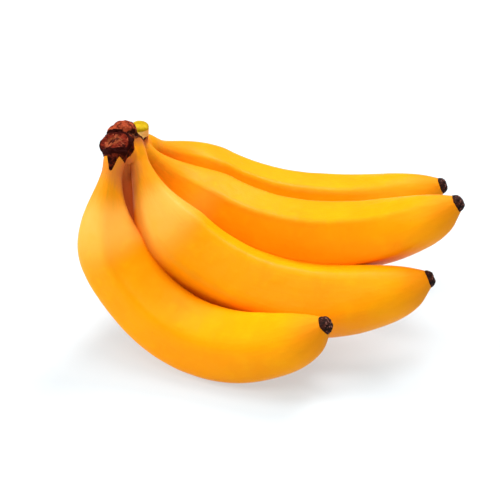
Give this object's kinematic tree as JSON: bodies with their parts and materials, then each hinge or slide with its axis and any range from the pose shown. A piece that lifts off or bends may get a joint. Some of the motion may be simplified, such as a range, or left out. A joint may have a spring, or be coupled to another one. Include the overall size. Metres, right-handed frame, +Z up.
{
  "type": "bunch of bananas",
  "caption": "Bunch of ripe curved bananas joined at a dark cut crown, lying on its bellies with the crown and the dry dark flower ends raised.",
  "frame": {"origin": "centre of the bunch's bounding box, on the surface that the bunch lies on", "axes": "+X from the crown towards the flower ends, +Y from the front finger towards the back finger, +Z up from the surface"},
  "size_m": [0.1986, 0.1456, 0.1176],
  "materials": {
    "peel": "smooth waxy peel, satin, yellow going to orange in the shade",
    "crown_bark": "dry cut stalk, rough, red-brown with a near-black rim",
    "flower_end": "dry crinkled flower remains, rough, near-black brown"
  },
  "bodies": {
    "root": {"crown": "crown_bark", "banana_1": "peel", "banana_2": "peel", "banana_3": "peel", "banana_4": "peel", "banana_5": "peel", "flower_end_1": "flower_end", "flower_end_2": "flower_end", "flower_end_3": "flower_end", "flower_end_4": "flower_end", "flower_end_5": "flower_end"}
  },
  "joints": []
}
